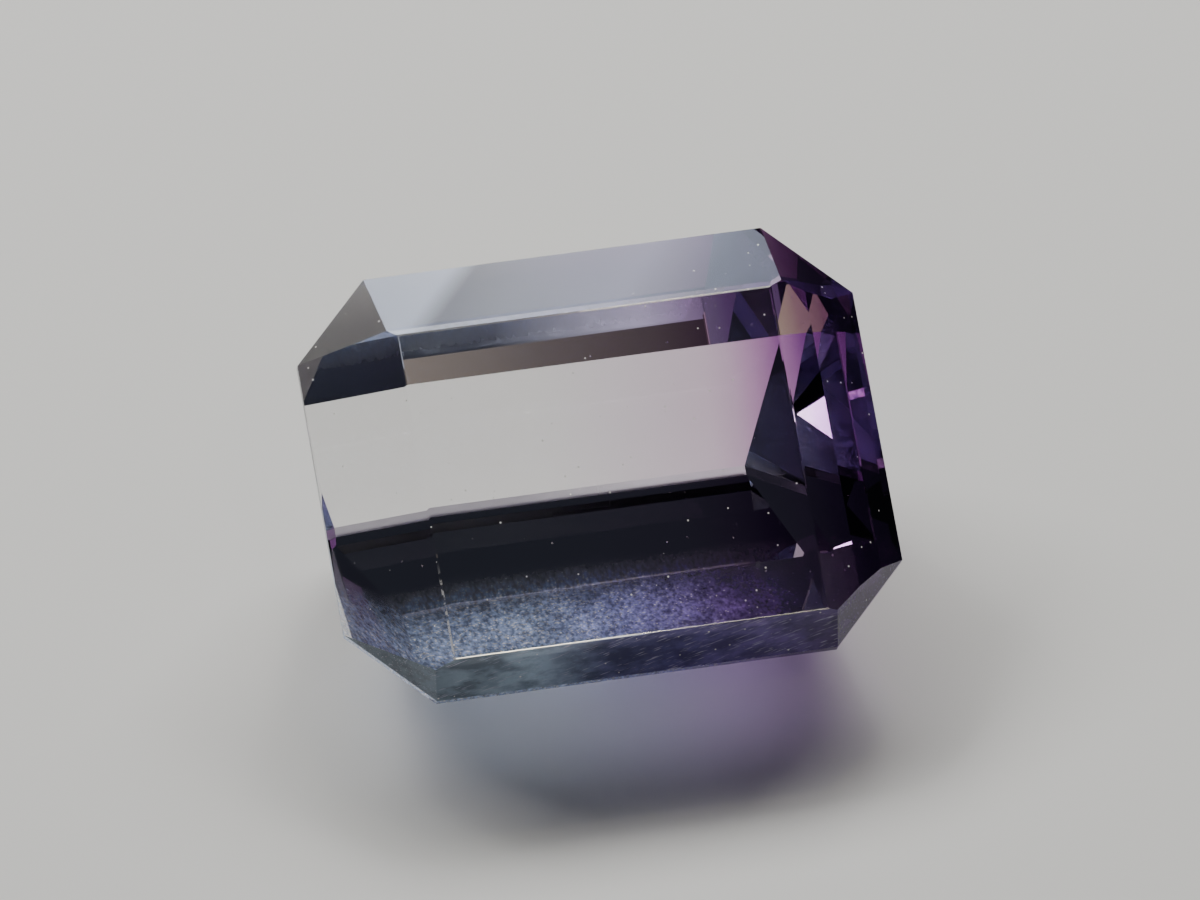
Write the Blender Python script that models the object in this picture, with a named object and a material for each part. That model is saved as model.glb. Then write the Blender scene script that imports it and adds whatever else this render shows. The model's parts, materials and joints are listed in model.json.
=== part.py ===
"""Bicolor amethyst: a step-cut gemstone with eight sides, lying on its front keel facet.

Units are metres and +Z is up. The stone is cut the way a lapidary cuts it: a rectangular blank is
ground to one flat facet after another, each set by its compass direction, by its angle from the
girdle plane and by the level where it starts. The finished stone is then tipped over to rest on
one facet, with the middle of its footprint at the origin.

In the stone's own frame the long axis is X, the girdle lies in XY and the table faces +Z.
"""
from math import cos, radians, sin, sqrt, tan

import bmesh
import bpy
from mathutils import Matrix, Vector

NAME = "bicolor_amethyst"

# Driving dimensions.
LENGTH = 0.01200         # girdle, end to end
WIDTH = 0.00940          # girdle, back to front
CORNER_CUT = 0.00170     # how far each cut corner runs back along both sides
CROWN_HEIGHT = 0.00118   # girdle's upper edge to the table
GIRDLE = 0.00020         # height of the girdle band
KEEL_DEPTH = 0.00522     # girdle's upper edge to the keel
ON_PLANE = 1e-8          # a corner this close to a cut counts as lying on it

# Facet steps of each side, from the girdle outwards: (angle in degrees from the girdle plane,
# level). The level is the distance above or below the girdle's upper edge at which the next step
# takes over. The last step has none: it runs on to the table or to the keel.
KEEL_FRONT_ANGLE = 30.5
CROWN = {
    "right": [(46.0, 0.00062), (28.5, 0.00093), (18.0, None)],
    "back_right": [(45.5, None)],
    "back": [(35.0, None)],
    "back_left": [(42.0, None)],
    "left": [(30.0, None)],
    "front_left": [(75.0, None)],
    "front": [(66.5, None)],
    "front_right": [(71.0, None)],
}
PAVILION = {
    "right": [(70.0, 0.00283), (57.5, None)],
    "back_right": [(76.0, None)],
    "back": [(60.0, 0.00349), (35.3, None)],
    "back_left": [(76.0, None)],
    "left": [(72.5, 0.00471), (59.5, None)],
    "front_left": [(56.5, None)],
    "front": [(54.6, 0.00393), (KEEL_FRONT_ANGLE, None)],
    "front_right": [(63.0, None)],
}
SIDES = list(CROWN)
SIDE_TURN = 360 / len(SIDES)     # the sides follow each other anticlockwise from +X


def girdle_distance(side):
    """Distance from the stone's axis to its girdle on one side."""
    if side in ("left", "right"):
        return LENGTH / 2
    if side in ("front", "back"):
        return WIDTH / 2
    return (LENGTH / 2 + WIDTH / 2 - CORNER_CUT) / sqrt(2)


def grind(stone, point, normal):
    """Remove all that lies outside a plane, and close the stone with a flat facet there."""
    everything = stone.verts[:] + stone.edges[:] + stone.faces[:]
    cut = bmesh.ops.bisect_plane(
        stone, geom=everything, dist=ON_PLANE, plane_co=point, plane_no=normal, clear_outer=True)
    rim = [part for part in cut["geom_cut"] if isinstance(part, bmesh.types.BMEdge)]
    bmesh.ops.contextual_create(stone, geom=rim)


def grind_side(stone, outward, distance, start, steps, up):
    """Grind one side's steps, from the girdle up to the table (up = 1) or down to the keel (-1)."""
    for angle, level in steps:
        slope = radians(angle)
        foot = outward * distance + Vector((0, 0, up * start))
        grind(stone, foot, outward * sin(slope) + Vector((0, 0, up * cos(slope))))
        if level is not None:
            distance -= (level - start) / tan(slope)
            start = level


def cut_stone():
    """Cut the stone in its own frame, with z = 0 at the girdle's upper edge."""
    stone = bmesh.new()
    bmesh.ops.create_cube(stone, size=1)
    bmesh.ops.scale(stone, verts=stone.verts, vec=(LENGTH, WIDTH, CROWN_HEIGHT + KEEL_DEPTH))
    bmesh.ops.translate(stone, verts=stone.verts, vec=(0, 0, (CROWN_HEIGHT - KEEL_DEPTH) / 2))
    for place, side in enumerate(SIDES):
        turn = radians(place * SIDE_TURN)
        outward = Vector((cos(turn), sin(turn), 0))
        distance = girdle_distance(side)
        if place % 2:
            grind(stone, outward * distance, outward)
        grind_side(stone, outward, distance, 0, CROWN[side], up=1)
        grind_side(stone, outward, distance, GIRDLE, PAVILION[side], up=-1)
    bmesh.ops.recalc_face_normals(stone, faces=stone.faces)
    return stone


def lay_down(stone):
    """Tip the stone onto its front keel facet and centre its footprint on the origin."""
    bmesh.ops.rotate(stone, verts=stone.verts, matrix=Matrix.Rotation(radians(KEEL_FRONT_ANGLE), 3, "X"))
    corners = [vert.co for vert in stone.verts]
    low = Vector([min(axis) for axis in zip(*corners)])
    high = Vector([max(axis) for axis in zip(*corners)])
    middle = (low + high) / 2
    bmesh.ops.translate(stone, verts=stone.verts, vec=(-middle.x, -middle.y, -low.z))


def amethyst():
    """Clear quartz with a violet body colour."""
    material = bpy.data.materials.new("amethyst")
    material.use_nodes = True
    shader = material.node_tree.nodes["Principled BSDF"]
    shader.inputs["Base Color"].default_value = (0.30, 0.20, 0.45, 1)
    shader.inputs["Roughness"].default_value = 0.02
    shader.inputs["Metallic"].default_value = 0
    shader.inputs["IOR"].default_value = 1.55
    shader.inputs["Transmission Weight"].default_value = 1
    return material


def build():
    """Put the finished stone in its own collection."""
    for item in list(bpy.data.objects):
        bpy.data.objects.remove(item)
    stone = cut_stone()
    lay_down(stone)
    mesh = bpy.data.meshes.new(NAME)
    stone.to_mesh(mesh)
    stone.free()
    mesh.materials.append(amethyst())
    collection = bpy.data.collections.new(NAME)
    bpy.context.scene.collection.children.link(collection)
    collection.objects.link(bpy.data.objects.new(NAME, mesh))


build()
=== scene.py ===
"""A bicolor amethyst, step cut and polished, lying on its front keel facet on a pale surface.

Metres, +Z up. The stone's long axis is X: near colourless at -X, deep violet at +X.
"""

import json
from math import cos, pi, radians, sin

import bpy
from mathutils import Matrix, Quaternion, Vector

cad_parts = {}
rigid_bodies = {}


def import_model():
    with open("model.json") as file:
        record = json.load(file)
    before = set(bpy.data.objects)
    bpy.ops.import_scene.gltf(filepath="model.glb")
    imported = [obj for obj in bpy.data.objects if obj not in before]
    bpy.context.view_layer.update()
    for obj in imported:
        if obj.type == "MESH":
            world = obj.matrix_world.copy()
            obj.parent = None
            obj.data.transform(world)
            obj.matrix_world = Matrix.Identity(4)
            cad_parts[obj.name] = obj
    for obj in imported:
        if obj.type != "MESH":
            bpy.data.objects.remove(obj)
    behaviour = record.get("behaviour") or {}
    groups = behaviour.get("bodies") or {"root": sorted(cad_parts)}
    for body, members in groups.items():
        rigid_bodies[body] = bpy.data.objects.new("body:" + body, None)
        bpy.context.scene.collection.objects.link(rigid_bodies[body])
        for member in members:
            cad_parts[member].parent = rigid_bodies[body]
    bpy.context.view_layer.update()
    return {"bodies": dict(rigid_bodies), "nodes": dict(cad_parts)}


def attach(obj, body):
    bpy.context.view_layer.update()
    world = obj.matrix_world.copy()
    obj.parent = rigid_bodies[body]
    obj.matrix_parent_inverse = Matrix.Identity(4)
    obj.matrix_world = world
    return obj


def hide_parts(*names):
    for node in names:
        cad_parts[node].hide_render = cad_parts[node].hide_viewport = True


MM = 0.001

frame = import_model()
STONE_NODE = "bicolor_amethyst"
BODY = next(iter(frame["bodies"]))

# How the stone was tipped: its table leans towards -Y by the front keel facet's angle.
KEEL_FRONT_ANGLE = radians(30.5)
GIRDLE_CENTRE = Vector((0, 0.01, 4.43)) * MM     # middle of the girdle's upper edge
LENGTH = 12.0 * MM

# The mesh is cleaned before it is worn: points this close are one, and facets this flat are one.
WELD = 0.001 * MM
FLAT_WITHIN = radians(0.5)

# The crystal: quartz with a faint grey absorption. Its colour zones are given along the length,
# from 0 at the -X end to 1 at the +X end.
QUARTZ_IOR = 1.548
BODY_COLOUR, BODY_DENSITY = "#D6D6DE", 35.0
ZONES = [
    (0.00, "#FAFAF8"), (0.42, "#FAF8F8"), (0.58, "#F4E8F2"), (0.74, "#EAD2E6"), (0.82, "#C892C6"),
    (0.88, "#824490"), (0.93, "#4E1A5E"), (1.00, "#340D40")]

# The wear of a stone that has been handled. The table's long edges are rubbed to a narrow flat,
# its left edge is chipped near the front, and the keel is frosted, most at the -X end.
EDGE_WEAR = 0.026 * MM
RUBBED_OPACITY = 0.45
RUBBED_ROUGHNESS = 0.08
RUBBED_FADES = (-1.5 * MM, 1.0 * MM)
CHIPPED_FROM = (-2.3 * MM, -2.9 * MM)
CHIP_SIZE = 0.12 * MM
CHIP_GAPS = (0.42, 0.54)
KEEL_FADES = (-1.5 * MM, 1.5 * MM)
KEEL_OPACITY = (0.6, 0.1)
GIRDLE_FROST = 0.2
FROST_COLOUR = "#D9D2E2"
SCUFF_COLOUR = "#F2EFE8"

# The dust film under the front of the stone. It thins out towards the back and the +X end. Clouds
# and grains have a size, the range of the noise that is used, and what they leave of the film.
DUST_FADES_BACK = (0.9 * MM, -1.6 * MM)
DUST_FADES_RIGHT = (6.5 * MM, -0.5 * MM)
DUST_STRETCH = (1.0, 0.5, 0.5)
DUST_CLOUD, DUST_CLOUD_RANGE, DUST_CLOUD_COVER = 0.5 * MM, (0.36, 0.62), (0.5, 1.0)
DUST_GRAIN, DUST_GRAIN_RANGE, DUST_GRAIN_COVER = 0.09 * MM, (0.35, 0.70), (0.35, 1.0)
DUST_GAIN = 1.08
MOTTLING_ROUGHNESS = 0.62
FULL_TINT = 0.12                # the opacity from which the film has its full colour
# The dust's bluish white at the -X end is painted light, the tint of the light it catches. The violet
# towards +X is the stone's own colour.
DUST_AND_BLUE_LIGHT_COLOURS = [(0.35, "#B8CCF6"), (0.50, "#AEB6F6"), (0.70, "#A486D8"), (0.88, "#382050")]
# Painted glints: white flecks in the dust colour, fading out towards the violet end.
PAINTED_GLINT_SIZE, PAINTED_GLINT_RANGE, PAINTED_GLINT_FADES = 0.07 * MM, (0.57, 0.66), (0.8, 0.3)

# The greasy film on the front crown facet and its two cut corners. Its dark slate colours and darker
# clouds are partly real grime and partly painted shade.
GREASE_OPACITY = (0.82, 0.97)
GREASE_STRETCH = (0.5, 1.0, 1.0)
GREASE_CLOUD, GREASE_CLOUD_RANGE, GREASE_CLOUD_COVER = 0.4 * MM, (0.38, 0.60), (0.45, 1.0)
GREASE_PAINTED_SHADE = "#1E1E30"
GREASE_AND_SHADE_COLOURS = [
    (0.08, "#5C6C7C"), (0.18, "#8C9EB0"), (0.31, "#A8BCD2"), (0.44, "#646690"), (0.56, "#5A548A"),
    (0.74, "#70609C"), (0.90, "#46305E")]
SCRATCH_WIDTH, SCRATCH_STRETCH, SCRATCH_TILT = 0.03 * MM, 14, radians(-20)
SCRATCH_RANGE, SCRATCH_SHARE, SCRATCH_COLOUR = (0.63, 0.72), 0.5, "#C8C4DC"

# Single grains of lint and grit.
SPECK_SPACING = 0.3 * MM
GRIT_SPACING = 0.12 * MM
SPECK_RADIUS = 0.026 * MM
SPECK_CORE = 0.6                # the share of the radius within which a grain is full
EMPTY_CELLS = (0.45, 0.46)      # the share of the cells that have no grain, with a short step
GRIT_GAIN = 2.0

# Facets are told apart by their unit normals: how far they face aside (+X), back (+Y) and up (+Z).
LENGTHWISE = 0.05               # a facet that runs along the stone faces aside less than this
UPPER = 0.3                     # the upper facets face up more than this
DUSTY_BACK = 0.01               # the dusty facets face back less than this
FRONT_BACK = -0.6               # the front crown facets face back less than this
KEEL_BACK, KEEL_UP = (0.1, 0.8), -0.5
GIRDLE_BACK, GIRDLE_UP = 0.5, 0.2
BACK_EDGE_UP = 0.86             # the rubbed flat of the back edge faces up more than this
FACET_SLOT, WORN_SLOT = 0, 1    # the material slots of the facets and of the flats the bevel makes

FLOOR_LEFT, FLOOR_RIGHT, FLOOR_DEPTH = -250 * MM, 60 * MM, 500 * MM
FLOOR_GAP = 0.01 * MM           # keeps the floor just clear of the facet that rests on it
CARD_COLOUR, CARD_ROUGHNESS = "#D9D8D4", 0.9
ROOM_COLOUR = "#24262E"
PANEL_DISTANCE = 300.0          # millimetres
GLINT_PLACE = Vector((13.5, -13.4, 0.1)) * MM


# ---------------------------------------------------------------- materials

def linear(colour):
    """An sRGB hex colour as linear RGBA."""
    parts = [int(colour[place:place + 2], 16) / 255 for place in (1, 3, 5)]
    return [p / 12.92 if p <= 0.04045 else ((p + 0.055) / 1.055) ** 2.4 for p in parts] + [1]


def node(tree, kind, settings=None, **links):
    """Add a node, set its fields and socket values, and link what is given as a socket."""
    made = tree.nodes.new(kind)
    for name, value in (settings or {}).items():
        setattr(made, name, value)
    for name, value in links.items():
        socket = made.inputs[int(name[1:]) if name[1:].isdigit() else name.replace("_", " ")]
        if isinstance(value, bpy.types.NodeSocket):
            tree.links.new(value, socket)
        else:
            socket.default_value = value
    return made


def new_material(name):
    """A material with an empty node tree and its output."""
    material = bpy.data.materials.new(name)
    material.use_nodes = True
    tree = material.node_tree
    tree.nodes.clear()
    return material, tree, tree.nodes.new("ShaderNodeOutputMaterial")


def ramp(tree, factor, stops):
    """A colour ramp. Each stop is a place and a hex colour, or a place and a linear grey."""
    made = node(tree, "ShaderNodeValToRGB", Fac=factor)
    points = made.color_ramp.elements
    while len(points) < len(stops):
        points.new(0.5)
    for point, (place, colour) in zip(points, stops):
        point.position = place
        point.color = linear(colour) if isinstance(colour, str) else (colour, colour, colour, 1)
    return made.outputs["Color"]


def mapped(tree, value, span, to, curve="LINEAR"):
    """Map one span of values to another, clamped at both ends."""
    return node(
        tree, "ShaderNodeMapRange", {"interpolation_type": curve, "clamp": True},
        _0=value, _1=span[0], _2=span[1], _3=to[0], _4=to[1]).outputs[0]


def between(tree, value, low, high):
    """0 below low and 1 above high. Low may be the greater, which turns it round."""
    return mapped(tree, value, (low, high), (0.0, 1.0), "SMOOTHSTEP")


def blend(tree, share, first, second):
    """A mix of two colours."""
    return node(tree, "ShaderNodeMix", {"data_type": "RGBA"}, _0=share, _6=first, _7=second).outputs[2]


def maths(tree, operation, first, *others):
    """The same sum on two or more values, kept between 0 and 1 at each step."""
    for second in others:
        first = node(
            tree, "ShaderNodeMath", {"operation": operation, "use_clamp": True},
            _0=first, _1=second).outputs[0]
    return first


def product(tree, *values):
    """The product of two or more values, kept between 0 and 1."""
    return maths(tree, "MULTIPLY", *values)


def greatest(tree, *values):
    """The greatest of two or more values, kept between 0 and 1."""
    return maths(tree, "MAXIMUM", *values)


def coordinate(tree, place, axis):
    """One coordinate of a place."""
    return node(tree, "ShaderNodeSeparateXYZ", Vector=place).outputs[axis]


def mottling(tree, place, grain, detail, stretch=(1, 1, 1)):
    """Cloudy noise with grains of a given size in metres."""
    spread = node(tree, "ShaderNodeMapping", Vector=place, Scale=stretch).outputs[0]
    return node(
        tree, "ShaderNodeTexNoise", Vector=spread, Scale=1 / grain, Detail=detail,
        Roughness=MOTTLING_ROUGHNESS).outputs[0]


def face_mark(tree, name):
    """How far a facet has a mark that the mesh carries."""
    return node(tree, "ShaderNodeAttribute", {"attribute_name": name}).outputs["Fac"]


def film_opacity(tree, place):
    """How much the film of dust and finger grease hides.

    The dust lies on the facets that overhang the surface in front. It is thickest at the near, low
    side, fades out under the stone and towards the violet end, and is mottled, with finer grains in
    it. The grease on the front crown facets is almost opaque, a dark sheet that is partly painted shade.
    """
    depth = mapped(tree, coordinate(tree, place, "Y"), DUST_FADES_BACK, (0, 1))
    width = between(tree, coordinate(tree, place, "X"), *DUST_FADES_RIGHT)
    clouds = mottling(tree, place, DUST_CLOUD, detail=4.0, stretch=DUST_STRETCH)
    clouds = mapped(tree, clouds, DUST_CLOUD_RANGE, DUST_CLOUD_COVER)
    grains = mottling(tree, place, DUST_GRAIN, detail=1.0, stretch=DUST_STRETCH)
    grains = mapped(tree, grains, DUST_GRAIN_RANGE, DUST_GRAIN_COVER)
    dust = product(tree, face_mark(tree, "dusty"), depth, width, clouds, grains, DUST_GAIN)
    grease = mapped(tree, clouds, DUST_CLOUD_COVER, GREASE_OPACITY)
    return greatest(tree, dust, product(tree, face_mark(tree, "front"), grease))


def film_colour(tree, place, share):
    """Dust tinted by painted bluish light with painted glints, and clouded, scratched grease on the front
    facets, darkened partly by painted shade.
    """
    # The dust's bluish white is painted light; towards +X it turns to the stone's violet.
    dust = ramp(tree, share, DUST_AND_BLUE_LIGHT_COLOURS)
    # Painted glints: white flecks mixed into the dust colour.
    painted_glints = between(tree, mottling(tree, place, PAINTED_GLINT_SIZE, detail=1.0), *PAINTED_GLINT_RANGE)
    painted_glints = product(tree, painted_glints, between(tree, share, *PAINTED_GLINT_FADES))
    dust = blend(tree, painted_glints, dust, linear("#FFFFFF"))
    # The grease's dark slate colours are partly painted shade.
    clouds = mottling(tree, place, GREASE_CLOUD, detail=4.0, stretch=GREASE_STRETCH)
    clouds = mapped(tree, clouds, GREASE_CLOUD_RANGE, GREASE_CLOUD_COVER)
    grease = blend(tree, clouds, linear(GREASE_PAINTED_SHADE), ramp(tree, share, GREASE_AND_SHADE_COLOURS))
    lines = product(tree, scratches(tree, place), SCRATCH_SHARE)
    grease = blend(tree, lines, grease, linear(SCRATCH_COLOUR))
    return blend(tree, face_mark(tree, "front"), dust, grease)


def scratches(tree, place):
    """Short fine scratches that run up to the right across the front crown facet."""
    drawn = node(
        tree, "ShaderNodeMapping", {"vector_type": "TEXTURE"}, Vector=place,
        Rotation=(0, SCRATCH_TILT, 0), Scale=(SCRATCH_STRETCH, 1, 1)).outputs[0]
    noise = node(tree, "ShaderNodeTexNoise", Vector=drawn, Scale=1 / SCRATCH_WIDTH, Detail=1.0).outputs[0]
    return between(tree, noise, *SCRATCH_RANGE)


def specks(tree, place, spacing):
    """Single grains, in about half of the cells of a given spacing."""
    cells = node(tree, "ShaderNodeTexVoronoi", Vector=place, Scale=1 / spacing, Randomness=1.0)
    size = SPECK_RADIUS / spacing
    near = between(tree, cells.outputs["Distance"], size, SPECK_CORE * size)
    chance = node(tree, "ShaderNodeSeparateColor", Color=cells.outputs["Color"]).outputs[0]
    return product(tree, near, between(tree, chance, *EMPTY_CELLS))


def lint_and_grit(tree, place, film):
    """Lint on the upper facets and in the film, and finer grit where the dust is thick."""
    lint = product(
        tree, specks(tree, place, SPECK_SPACING), greatest(tree, face_mark(tree, "upper"), film))
    dust = maths(tree, "SUBTRACT", film, face_mark(tree, "front"))
    grit = product(tree, specks(tree, place, GRIT_SPACING), product(tree, dust, GRIT_GAIN))
    return greatest(tree, lint, grit)


def scuffed_edges(tree, place):
    """The table's two long edges are rubbed: the back one towards +X and the front one towards -X.

    The back edge is marked 1 and the front one -1, so one sum along X serves both. The edge at the
    -X end is chipped near its front corner.
    """
    mark = face_mark(tree, "rubbed")
    signed = node(
        tree, "ShaderNodeMath", {"operation": "MULTIPLY"},
        _0=coordinate(tree, place, "X"), _1=mark).outputs[0]
    size = node(tree, "ShaderNodeMath", {"operation": "ABSOLUTE"}, _0=mark).outputs[0]
    rubbed = product(tree, size, between(tree, signed, *RUBBED_FADES))
    chips = product(
        tree, face_mark(tree, "chipped"), between(tree, coordinate(tree, place, "Y"), *CHIPPED_FROM),
        between(tree, mottling(tree, place, CHIP_SIZE, detail=2.0), *CHIP_GAPS))
    return greatest(tree, rubbed, chips)


def amethyst():
    """Amethyst is clear quartz coloured by iron: polished flat on a lap, so it is mirror smooth.

    Its colour lies in zones, so one stone can be both colourless and violet. Scuffed edges, dust,
    grease and the frosted keel scatter the light that the clean facets mirror and let through.
    """
    material, tree, out = new_material("polished_amethyst")
    place = node(tree, "ShaderNodeTexCoord").outputs["Object"]
    along = coordinate(tree, place, "X")
    share = mapped(tree, along, (-LENGTH / 2, LENGTH / 2), (0, 1))
    film = film_opacity(tree, place)
    grains = lint_and_grit(tree, place, film)
    scuffs = scuffed_edges(tree, place)
    keel_mark = face_mark(tree, "keel")
    keel = product(tree, keel_mark, mapped(tree, along, KEEL_FADES, KEEL_OPACITY))
    veil = greatest(tree, film, product(tree, scuffs, RUBBED_OPACITY), keel, grains)
    # The film's colour carries painted light and shade: the dust's bluish tint and white glints, and part
    # of the grease's darkness.
    colour = blend(
        tree, between(tree, film, 0.0, FULL_TINT), ramp(tree, share, ZONES),
        film_colour(tree, place, share))
    colour = blend(tree, keel_mark, colour, linear(FROST_COLOUR))
    colour = blend(tree, greatest(tree, scuffs, grains), colour, linear(SCUFF_COLOUR))
    shader = node(
        tree, "ShaderNodeBsdfPrincipled", Base_Color=colour, IOR=QUARTZ_IOR,
        Roughness=product(tree, scuffs, RUBBED_ROUGHNESS),
        Transmission_Weight=maths(tree, "SUBTRACT", 1.0, veil))
    body = node(
        tree, "ShaderNodeVolumeAbsorption", Color=linear(BODY_COLOUR), Density=BODY_DENSITY)
    tree.links.new(shader.outputs[0], out.inputs["Surface"])
    tree.links.new(body.outputs[0], out.inputs["Volume"])
    return material


def pale_card():
    """Matt pale card."""
    material, tree, out = new_material("pale_card")
    shader = node(
        tree, "ShaderNodeBsdfPrincipled", Base_Color=linear(CARD_COLOUR), Roughness=CARD_ROUGHNESS)
    tree.links.new(shader.outputs[0], out.inputs["Surface"])
    return material


# ---------------------------------------------------------------- the stone

def only(thing):
    """Select one object and make it active."""
    bpy.ops.object.select_all(action="DESELECT")
    thing.select_set(True)
    bpy.context.view_layer.objects.active = thing


def finished_stone(node_name):
    """The cut stone with its facets whole and the table's edges slightly worn."""
    cut = frame["nodes"][node_name]
    only(cut)
    mesh = cut.data.copy()
    stone = bpy.data.objects.new("amethyst_stone", mesh)
    stone.matrix_world = cut.matrix_world
    bpy.context.scene.collection.objects.link(stone)
    only(stone)
    bpy.ops.object.transform_apply(location=True, rotation=True, scale=True)
    bpy.ops.object.mode_set(mode="EDIT")
    bpy.ops.mesh.select_all(action="SELECT")
    bpy.ops.mesh.remove_doubles(threshold=WELD)
    bpy.ops.mesh.dissolve_limited(angle_limit=FLAT_WITHIN)
    bpy.ops.mesh.customdata_custom_splitnormals_clear()
    bpy.ops.mesh.faces_shade_flat()
    bpy.ops.object.mode_set(mode="OBJECT")
    mesh.materials.clear()
    mesh.materials.append(amethyst())
    mesh.materials.append(None)
    weigh_table_edges(mesh)
    worn = stone.modifiers.new("worn edges", "BEVEL")
    worn.width = EDGE_WEAR
    worn.segments = 2
    worn.limit_method = "WEIGHT"
    worn.material = WORN_SLOT
    bpy.ops.object.modifier_apply(modifier=worn.name)
    mark_faces(mesh)
    return stone


def weigh_table_edges(mesh):
    """Only the edges round the table are rubbed. The others are as sharp as the wheel left them."""
    table = max(mesh.polygons, key=lambda face: face.area)
    weights = mesh.attributes.new("bevel_weight_edge", "FLOAT", "EDGE")
    for loop in table.loop_indices:
        weights.data[mesh.loops[loop].edge_index].value = 1.0


def mark_faces(mesh):
    """Mark the upper facets, and those that are dusty, greasy, frosted or worn, by how they face.

    The flats that the bevel made are known by their material slot, which is then given up.
    """
    marks = {"rubbed": [], "chipped": [], "dusty": [], "front": [], "keel": [], "upper": []}
    for face in mesh.polygons:
        aside, back, up = face.normal
        worn = face.material_index == WORN_SLOT
        lengthwise = abs(aside) < LENGTHWISE
        keel = lengthwise and KEEL_BACK[0] < back < KEEL_BACK[1] and up < KEEL_UP
        girdle = lengthwise and back > GIRDLE_BACK and up > GIRDLE_UP
        marks["rubbed"].append((worn and lengthwise) * (1.0 if up > BACK_EDGE_UP else -1.0))
        marks["chipped"].append(float(worn and aside < -LENGTHWISE))
        marks["dusty"].append(float(up < UPPER and back < DUSTY_BACK))
        marks["front"].append(float(back < FRONT_BACK and abs(up) < UPPER))
        marks["keel"].append(1.0 if keel else GIRDLE_FROST * girdle)
        marks["upper"].append(float(up > UPPER))
        face.material_index = FACET_SLOT
    for name, values in marks.items():
        mesh.attributes.new(name, "FLOAT", "FACE").data.foreach_set("value", values)
    mesh.materials.pop(index=WORN_SLOT)


# ---------------------------------------------------------------- the studio

def surface_below():
    """The card under the stone. It is short on the right, where the violet end mirrors the dark."""
    bpy.ops.object.select_all(action="DESELECT")
    middle = (FLOOR_RIGHT + FLOOR_LEFT) / 2
    bpy.ops.mesh.primitive_plane_add(size=1, location=(middle, 0, -FLOOR_GAP))
    floor = bpy.context.object
    floor.name = "floor"
    floor.scale = (FLOOR_RIGHT - FLOOR_LEFT, FLOOR_DEPTH, 1)
    bpy.ops.object.transform_apply(location=True, rotation=True, scale=True)
    floor.data.materials.append(pale_card())


def flat_panel(name, place, aim, size, glow, colour="#FFFFFF", fade=None, roll=0.0):
    """A light panel facing a point. The size is in millimetres and the glow is its radiance.

    Fade gives the share of the glow from one end of the panel to the other.
    """
    lamp = bpy.data.lights.new(name, "AREA")
    lamp.shape = "RECTANGLE"
    lamp.size, lamp.size_y = size[0] * MM, size[1] * MM
    lamp.energy = glow * pi * lamp.size * lamp.size_y
    lamp.color = linear(colour)[:3]
    if fade:
        lamp.use_nodes = True
        tree = lamp.node_tree
        across = coordinate(tree, node(tree, "ShaderNodeNewGeometry").outputs["Parametric"], "X")
        tree.links.new(ramp(tree, across, fade), tree.nodes["Emission"].inputs["Strength"])
    holder = bpy.data.objects.new(name, lamp)
    holder.location = place
    turn = (place - aim).to_track_quat("Z", "Y") @ Quaternion((0, 0, 1), radians(roll))
    holder.rotation_euler = turn.to_euler()
    bpy.context.scene.collection.objects.link(holder)


def panel(
        name, elevation, azimuth, size, glow, colour="#FFFFFF", fade=None,
        distance=PANEL_DISTANCE, shift=(0, 0), roll=0.0):
    """A panel facing the stone. The azimuth is counted from +Y towards +X, in degrees.

    It may be shifted sideways and upwards in its own plane and rolled. Lengths are in millimetres.
    """
    turn, lift = radians(azimuth), radians(elevation)
    away = Vector((sin(turn) * cos(lift), cos(turn) * cos(lift), sin(lift)))
    side = Vector((0, 0, 1)).cross(away).normalized()
    place = GIRDLE_CENTRE + (away * distance + side * shift[0] + away.cross(side) * shift[1]) * MM
    flat_panel(name, place, place - away, size, glow, colour, fade, roll)


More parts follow.
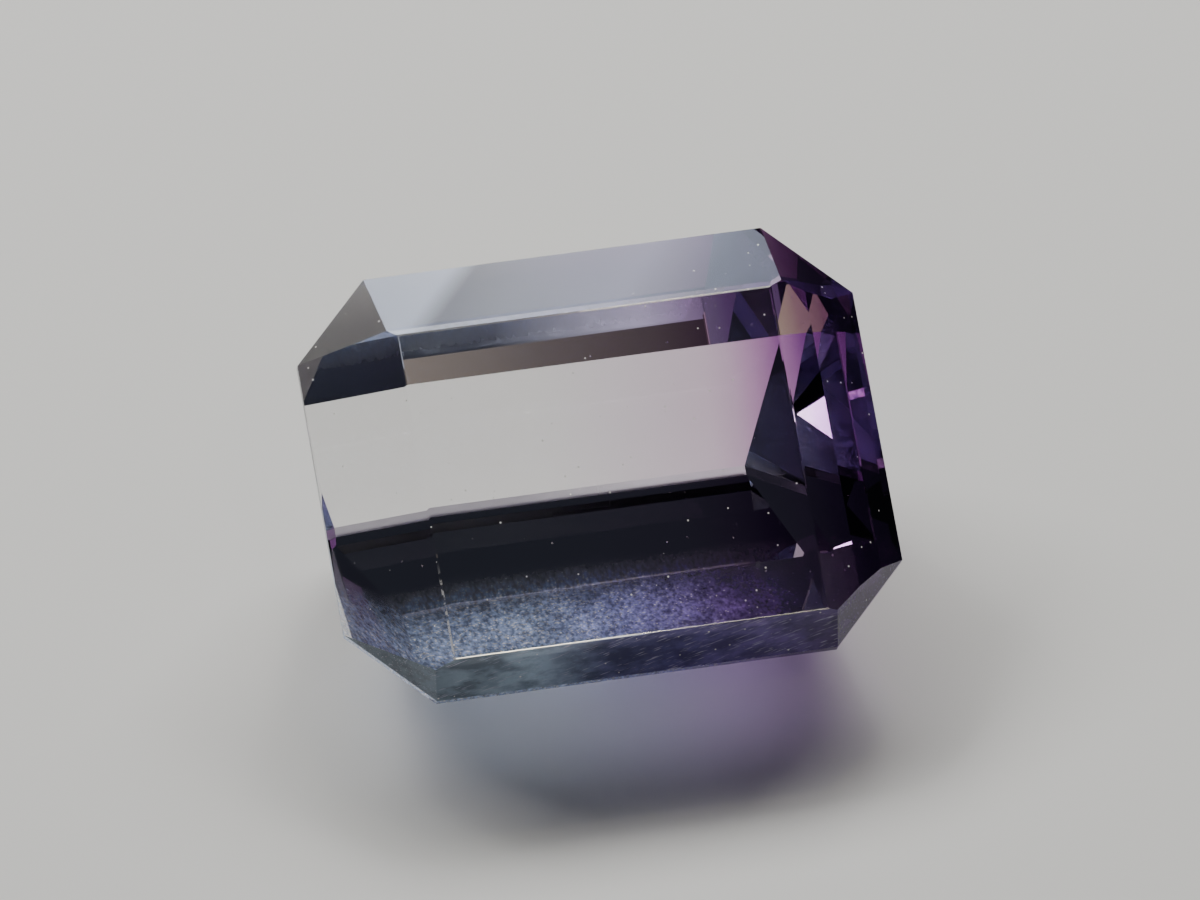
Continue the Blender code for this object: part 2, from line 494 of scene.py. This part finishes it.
def studio():
    """A dim room with three soft panels behind the stone, and small ones that single facets mirror."""
    world = bpy.data.worlds.new("studio")
    world.use_nodes = True
    background = world.node_tree.nodes["Background"]
    background.inputs["Color"].default_value = linear(ROOM_COLOUR)
    background.inputs["Strength"].default_value = 1.0
    bpy.context.scene.world = world

    # The soft light that falls on the floor and through the stone.
    panel("left_panel", 45, -45, (150, 90), 9.8)
    panel("back_panel", 47, -5, (230, 90), 9.8)
    panel("right_panel", 43, 33, (150, 90), 9.8)

    # The grey to white grading on the back crown facet, and its slanting border.
    panel(
        "graded_panel", 32.7, 10, (15.6, 14), 10.0, "#DDE8FF",
        ((0.05, 0.34), (0.19, 0.42), (0.37, 0.66), (0.6, 0.50), (0.73, 0.34), (0.79, 1.0), (1.0, 0.85)),
        shift=(-0.55, 0.43), roll=-38.3)

    # The warm and grey stripes in the band under that facet, and the band's violet end.
    panel(
        "warm_strip", 43.2, 168, (9.6, 1.5), 0.29, "#FFEBD8",
        ((0.0, 1.0), (0.5, 0.44), (1.0, 0.15)),
        distance=60, shift=(-0.2, -1.1), roll=-8.5)
    panel(
        "grey_strip", 43.2, 168, (9.6, 1.2), 0.60, "#E8EEFF",
        ((0.0, 0.02), (0.35, 0.04), (0.75, 1.0), (1.0, 0.5)),
        distance=60, shift=(-0.2, -2.4), roll=-8.5)
    panel("band_end_panel", 44, -179, (24, 14), 0.26, "#E6F0FF")

    # The dull patches behind the violet end's cut corner, and the small lilac one near its edge.
    panel("corner_panel", 26, -152, (22, 60), 0.75, "#E8F4B0")
    panel("lilac_panel", 19, -130, (16, 16), 6.0, "#FFE0D8")

    # The bright lines along the table's rubbed edges.
    panel(
        "back_edge_lamp", 59.05, 17.1, (17, 9), 110.0, "#FFF6DC",
        ((0.0, 0.1), (0.12, 0.4), (0.3, 1.0), (0.55, 0.9), (0.8, 0.2), (1.0, 0.05)),
        shift=(0.51, -0.35), roll=14.8)
    panel(
        "front_edge_lamp", 53.0, 165.3, (17.6, 7), 130.0, "#FFF6DC",
        ((0.0, 1.0), (0.25, 0.9), (0.45, 0.3), (0.6, 0.1), (1.0, 0.06)),
        shift=(-1.09, -3.84), roll=-11.8)

    # The sparkle in the violet end comes from a small lamp that lies on the floor, facing up.
    flat_panel("glint", GLINT_PLACE, GLINT_PLACE + Vector((0, 0, 1)), (3.2, 1.0), 60.0, roll=30.8)


# The camera looks at the stone from the front and a little to its left, about 42 degrees up.
# In the stone's own upright frame that is TOWARDS_CAMERA, with the long axis turned by LEAN.
TOWARDS_CAMERA = Vector((-0.16, -0.30, 1.0))
LEAN = radians(7.6)
LENS = 400.0
SENSOR = 36.0
FRAME_WIDTH = 25.34 * MM        # what the frame spans at the girdle's centre
RAISE = 0.27 * MM
CLIP_NEAR, CLIP_FAR = 0.1, 20   # as shares of the camera's distance


def camera():
    """Aim the camera a little above the girdle's centre, from far enough for a long lens."""
    back = (Matrix.Rotation(KEEL_FRONT_ANGLE, 3, "X") @ TOWARDS_CAMERA).normalized()
    along = (Vector((1, 0, 0)) - back * back.x).normalized()
    across = back.cross(along)
    right = along * cos(LEAN) - across * sin(LEAN)
    up = back.cross(right)
    eye = bpy.data.objects.new("camera", bpy.data.cameras.new("camera"))
    eye.data.lens = LENS
    eye.data.sensor_width = SENSOR
    distance = FRAME_WIDTH * LENS / SENSOR
    place = GIRDLE_CENTRE + up * RAISE + back * distance
    eye.matrix_world = Matrix.Translation(place) @ Matrix((right, up, back)).transposed().to_4x4()
    eye.data.clip_start = distance * CLIP_NEAR
    eye.data.clip_end = distance * CLIP_FAR
    bpy.context.scene.collection.objects.link(eye)
    bpy.context.scene.camera = eye


stone = finished_stone(STONE_NODE)
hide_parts(STONE_NODE)
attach(stone, BODY)
surface_below()
studio()
camera()
